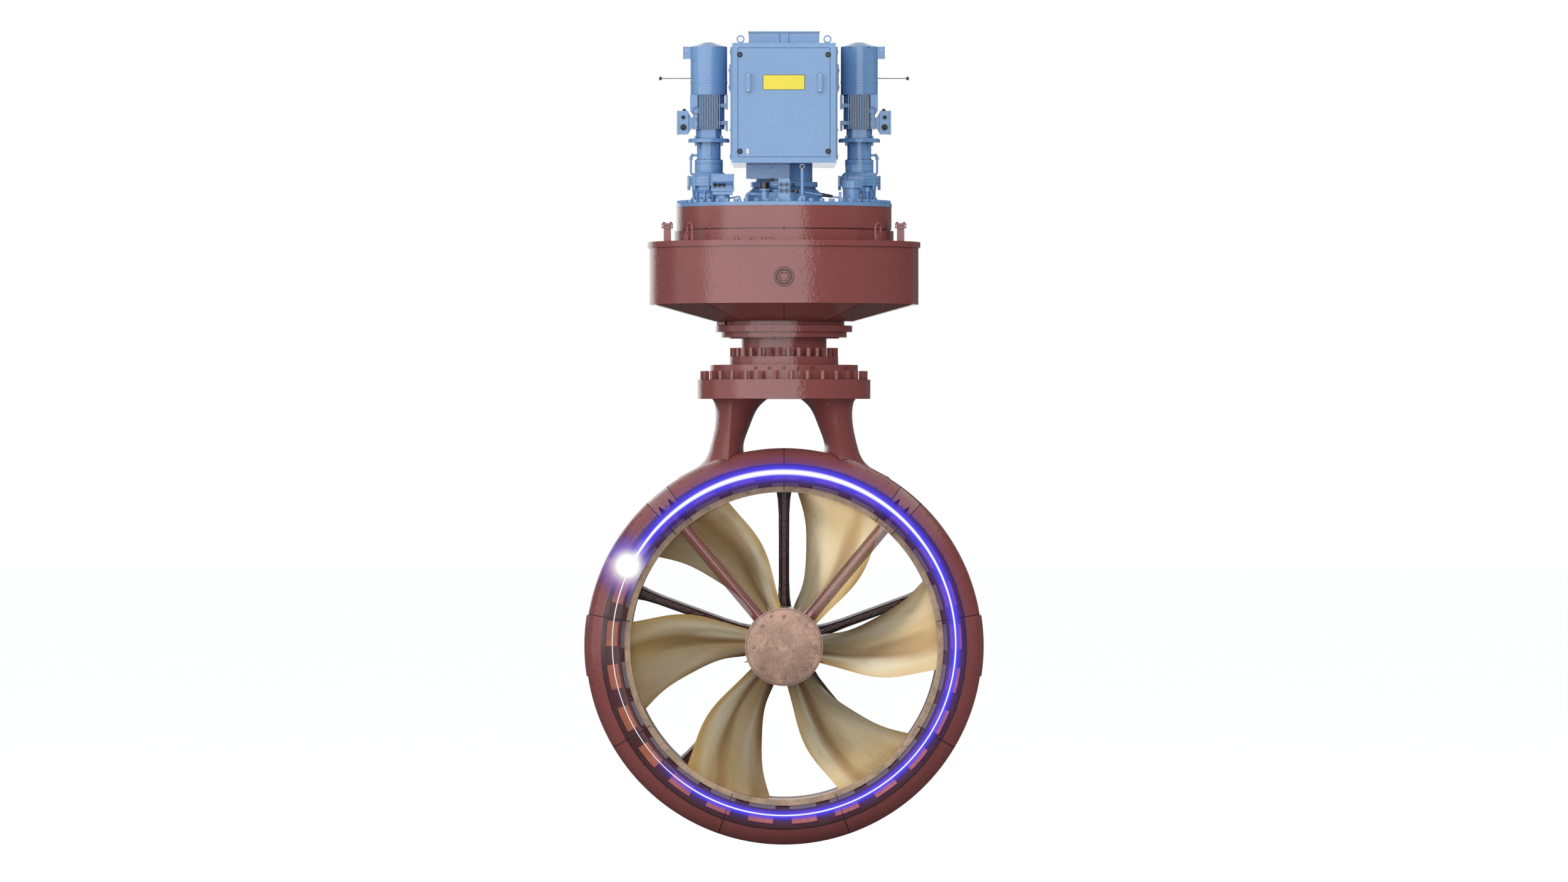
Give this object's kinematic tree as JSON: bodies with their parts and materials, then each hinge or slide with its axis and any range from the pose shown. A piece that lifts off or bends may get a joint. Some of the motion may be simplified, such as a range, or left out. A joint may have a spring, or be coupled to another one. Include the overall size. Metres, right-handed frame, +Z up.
{
  "type": "rim-drive thruster",
  "caption": "Steerable rim-drive ship thruster: hull tank with steering gear, slip-ring cabinet and drives, pylon, and ducted propeller turned by a ring motor.",
  "frame": {"origin": "on the steering axis, at the underside of the hull flange, where the unit rests in the hull well", "axes": "+Z up along the steering axis; the propeller shaft is along Y and the nozzle's inlet faces -Y"},
  "size_m": [2.48, 1.6978, 5.0325],
  "materials": {
    "red_paint": "red-brown anti-fouling coating, orange peel",
    "blue_paint": "light blue machinery enamel, orange peel",
    "polished_bronze": "polished propeller bronze",
    "bare_bronze": "bare cast bronze, dull",
    "bearing_bronze": "machined",
    "copper": "wound copper",
    "magnet_steel": "coated magnet blocks",
    "steel": "machined steel",
    "zinc": "zinc blocks under a thin coat",
    "seal_rubber": "nitrile",
    "insulation": "moulded insulation",
    "black_plastic": "moulded"
  },
  "bodies": {
    "root": {"tank": "red_paint", "tank_plug": "red_paint", "gear_housing": "red_paint", "top_cover": "blue_paint", "cover_bolts": "blue_paint", "seal_housing": "red_paint", "seal_rings": "seal_rubber", "lower_bearing": "bearing_bronze", "slewing_ring": "steel", "vent_pipes": "red_paint", "lifting_rings": "red_paint", "motor_left": "blue_paint", "motor_right": "blue_paint", "fan_cowl_left": "blue_paint", "fan_cowl_right": "blue_paint", "terminal_boxes": "blue_paint", "gearbox_left": "blue_paint", "gearbox_right": "blue_paint", "pipework": "blue_paint", "cabinet_body": "blue_paint", "cabinet_hood": "blue_paint", "roof_eye_bolts": "blue_paint", "cabinet_neck": "blue_paint", "brush_gear": "insulation", "valve_manifold": "blue_paint", "junction_box": "blue_paint", "oil_filter": "blue_paint", "breather_cap": "black_plastic", "dipstick_tube": "blue_paint"},
    "steering_unit": {"stem": "red_paint", "ring_gear": "steel", "slip_ring_column": "steel", "stem_bolts": "red_paint", "adapter_ring": "red_paint", "pylon_bolts": "red_paint", "pylon": "red_paint", "nozzle_shell": "red_paint", "nose_fairing": "red_paint", "motor_cover": "red_paint", "front_spider": "red_paint", "rear_spider": "red_paint", "hub_cap": "bare_bronze", "hub_axle": "steel", "stator_core": "steel", "stator_coils": "copper", "anodes": "zinc"},
    "propeller": {"rotor_ring": "bare_bronze", "rotor_magnets": "magnet_steel", "propeller_hub": "polished_bronze", "propeller_blades": "polished_bronze"},
    "pinion_left": {"pinion_left": "steel"},
    "pinion_right": {"pinion_right": "steel"},
    "cabinet_cover": {"cabinet_cover": "blue_paint"},
    "dipstick": {"dipstick": "steel"},
    "brake_lever_left": {"brake_lever_left": "steel"},
    "brake_lever_right": {"brake_lever_right": "steel"},
    "cover_lock_upper_left": {"cover_lock_upper_left": "black_plastic"},
    "cover_lock_upper_right": {"cover_lock_upper_right": "black_plastic"},
    "cover_lock_lower_left": {"cover_lock_lower_left": "black_plastic"},
    "cover_lock_lower_right": {"cover_lock_lower_right": "black_plastic"}
  },
  "joints": [
    {"name": "azimuth", "type": "hinge", "parent": "root", "child": "steering_unit", "pos_m": [0, 0, 0], "axis": [0, 0, 1], "continuous": true},
    {"name": "propeller_spin", "type": "hinge", "parent": "steering_unit", "child": "propeller", "pos_m": [0, 0, -2.4695], "axis": [0, 1, 0], "continuous": true},
    {"name": "cover_lift_off", "type": "slide", "parent": "root", "child": "cabinet_cover", "axis": [0, -1, 0], "range_m": [0, 0.3]},
    {"name": "dipstick_pull", "type": "slide", "parent": "root", "child": "dipstick", "axis": [0, 0, 1], "range_m": [0, 0.25]},
    {"name": "pinion_left_spin", "type": "hinge", "parent": "root", "child": "pinion_left", "pos_m": [-0.468, 0, 0], "axis": [0, 0, 1], "continuous": true},
    {"name": "brake_release_left", "type": "hinge", "parent": "root", "child": "brake_lever_left", "pos_m": [-0.506, 0, 1.056], "axis": [0, 1, 0], "range_deg": [0, 6], "stiffness_Nm_per_rad": 20, "springref_deg": -2.86},
    {"name": "pinion_right_spin", "type": "hinge", "parent": "root", "child": "pinion_right", "pos_m": [0.468, 0, 0], "axis": [0, 0, 1], "continuous": true},
    {"name": "brake_release_right", "type": "hinge", "parent": "root", "child": "brake_lever_right", "pos_m": [0.506, 0, 1.056], "axis": [0, -1, 0], "range_deg": [0, 6], "stiffness_Nm_per_rad": 20, "springref_deg": -2.86},
    {"name": "cover_lock_upper_left_turn", "type": "hinge", "parent": "cabinet_cover", "child": "cover_lock_upper_left", "pos_m": [-0.272, 0, 1.179], "axis": [0, -1, 0], "range_deg": [0, 90]},
    {"name": "cover_lock_upper_right_turn", "type": "hinge", "parent": "cabinet_cover", "child": "cover_lock_upper_right", "pos_m": [0.272, 0, 1.179], "axis": [0, -1, 0], "range_deg": [0, 90]},
    {"name": "cover_lock_lower_left_turn", "type": "hinge", "parent": "cabinet_cover", "child": "cover_lock_lower_left", "pos_m": [-0.272, 0, 0.584], "axis": [0, -1, 0], "range_deg": [0, 90]},
    {"name": "cover_lock_lower_right_turn", "type": "hinge", "parent": "cabinet_cover", "child": "cover_lock_lower_right", "pos_m": [0.272, 0, 0.584], "axis": [0, -1, 0], "range_deg": [0, 90]}
  ],
  "couplings": [
    {"joint": "pinion_left_spin", "follows": "azimuth", "ratio": -5},
    {"joint": "pinion_right_spin", "follows": "azimuth", "ratio": -5}
  ]
}
